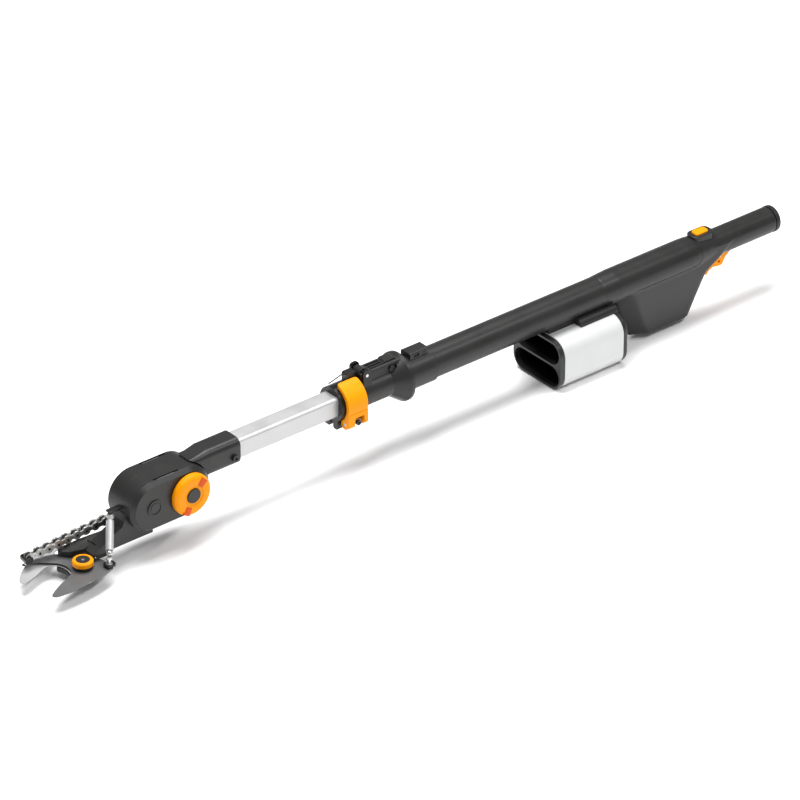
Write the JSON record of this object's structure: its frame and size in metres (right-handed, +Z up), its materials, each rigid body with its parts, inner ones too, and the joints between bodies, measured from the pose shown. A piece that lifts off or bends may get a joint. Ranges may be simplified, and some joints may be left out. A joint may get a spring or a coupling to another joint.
{
  "type": "telescoping pole pruner",
  "caption": "Long cordless pruner: a crescent blade on a tilting drive head at the end of a telescoping pole, with a battery box and trigger grip at the rear.",
  "frame": {"origin": "middle of the battery box's flat base, which the tool rests on", "axes": "+Z up; +X along the pole towards the grip, so the blades lie towards -X; -Y is the side with the tilt knob"},
  "size_m": [1.1521, 0.0976, 0.124],
  "materials": {
    "dark_plastic": "fine textured",
    "black_plastic": "satin",
    "orange_plastic": "semi gloss",
    "red_plastic": "semi gloss",
    "shell_silver": "satin paint",
    "pole_alu": "anodised satin",
    "blade_grey": "coated satin",
    "steel": "ground",
    "chain_steel": "bright",
    "black_steel": "black oxide",
    "strip_grey": "satin",
    "brass": "plain",
    "board_green": "solder mask",
    "lead_rubber": "smooth"
  },
  "bodies": {
    "handle": {"main_tube": "dark_plastic", "front_collar": "dark_plastic", "clamp_sleeve": "dark_plastic", "side_panel": "black_plastic", "clamp_screws": "black_steel", "clamp_collar": "black_plastic", "latch_pin": "steel", "latch_screw": "black_steel", "lever_pin": "steel", "lever_base": "black_plastic", "wire_clip": "black_steel", "catch_block": "dark_plastic", "housing_near": "dark_plastic", "housing_far": "dark_plastic", "housing_screws": "black_steel", "grip_cap": "dark_plastic", "button_surround": "dark_plastic", "trigger_pin": "steel", "switch_block": "black_plastic", "control_board": "board_green", "cable": "lead_rubber", "box_bezel": "dark_plastic", "box_shell": "shell_silver", "bay_liner": "black_plastic", "bay_terminals": "brass", "box_cap": "dark_plastic", "box_saddle": "dark_plastic"},
    "lever": {"lever": "dark_plastic"},
    "clamp_lever": {"clamp_band": "orange_plastic"},
    "safety_button": {"safety_button": "orange_plastic"},
    "trigger": {"trigger": "orange_plastic"},
    "pole": {"pole": "pole_alu", "pole_guide": "black_plastic", "pole_socket": "dark_plastic", "socket_screw": "black_steel"},
    "head": {"case_near": "dark_plastic", "case_far": "dark_plastic", "case_strips": "strip_grey", "boss_cap": "dark_plastic", "drive_motor": "steel", "arm": "dark_plastic", "fixed_blade": "steel", "pivot_bolt": "steel", "strut_bracket": "black_steel", "tilt_nut": "black_steel"},
    "tilt_knob": {"knob": "orange_plastic", "knob_inserts": "red_plastic", "knob_hub": "dark_plastic"},
    "sprocket": {"sprocket": "steel"},
    "blade": {"hook_blade": "blade_grey", "pivot_nut": "orange_plastic", "nut_core": "dark_plastic", "corner_block": "black_plastic", "corner_stud": "steel", "chain_stud": "steel"},
    "chain": {"chain_plates": "chain_steel", "chain_rollers": "black_steel", "chain_end": "black_steel"},
    "strut_tube": {"strut_tube": "pole_alu"},
    "strut_rod": {"strut_rod": "steel"}
  },
  "joints": [
    {"name": "pole_slide", "type": "slide", "parent": "handle", "child": "pole", "axis": [-1, 0, 0], "range_m": [0, 0.32]},
    {"name": "head_tilt", "type": "hinge", "parent": "pole", "child": "head", "pos_m": [-0.606, 0, 0.0705], "axis": [0, -1, 0], "range_deg": [0, 60]},
    {"name": "knob_turn", "type": "hinge", "parent": "head", "child": "tilt_knob", "pos_m": [-0.606, -0.03, 0.0705], "axis": [0, -1, 0], "range_deg": [-170, 170]},
    {"name": "blade_swing", "type": "hinge", "parent": "head", "child": "blade", "pos_m": [-0.752, -0.0145, 0.0225], "axis": [0, 0, -1], "range_deg": [0, 38], "stiffness_Nm_per_rad": 0.6},
    {"name": "chain_follow", "type": "hinge", "parent": "blade", "child": "chain", "pos_m": [-0.799, 0.0305, 0.031], "axis": [0, 0, -1], "range_deg": [-21.6, 1]},
    {"name": "sprocket_spin", "type": "hinge", "parent": "head", "child": "sprocket", "pos_m": [-0.656, 0.009, 0.0705], "axis": [0, -1, 0], "range_deg": [-1, 145.8]},
    {"name": "strut_swing", "type": "hinge", "parent": "head", "child": "strut_tube", "pos_m": [-0.702, -0.002, 0.0645], "axis": [-0.5236, 0.7949, -0.3063], "range_deg": [-0.5, 11.91]},
    {"name": "strut_extend", "type": "slide", "parent": "strut_tube", "child": "strut_rod", "axis": [-0.4801, -0.5724, -0.6647], "range_m": [-0.0005, 0.016]},
    {"name": "lever_swing", "type": "hinge", "parent": "handle", "child": "lever", "pos_m": [-0.3295, 0, 0.117], "axis": [0, -1, 0], "range_deg": [0, 95]},
    {"name": "clamp_latch", "type": "hinge", "parent": "handle", "child": "clamp_lever", "pos_m": [-0.3535, -0.0185, 0.066], "axis": [1, 0, 0], "range_deg": [0, 90]},
    {"name": "safety_press", "type": "slide", "parent": "handle", "child": "safety_button", "axis": [0, 0, -1], "range_m": [0, 0.003], "stiffness_N_per_m": 300},
    {"name": "trigger_pull", "type": "hinge", "parent": "handle", "child": "trigger", "pos_m": [0.23, 0, 0.0755], "axis": [0, -1, 0], "range_deg": [0, 10], "stiffness_Nm_per_rad": 0.4}
  ],
  "couplings": [
    {"joint": "chain_follow", "follows": "blade_swing", "ratio": -0.54219},
    {"joint": "sprocket_spin", "follows": "blade_swing", "ratio": 3.7836},
    {"joint": "strut_swing", "follows": "blade_swing", "ratio": 0.30022},
    {"joint": "strut_extend", "follows": "blade_swing", "m_per_rad": 0.02337}
  ]
}
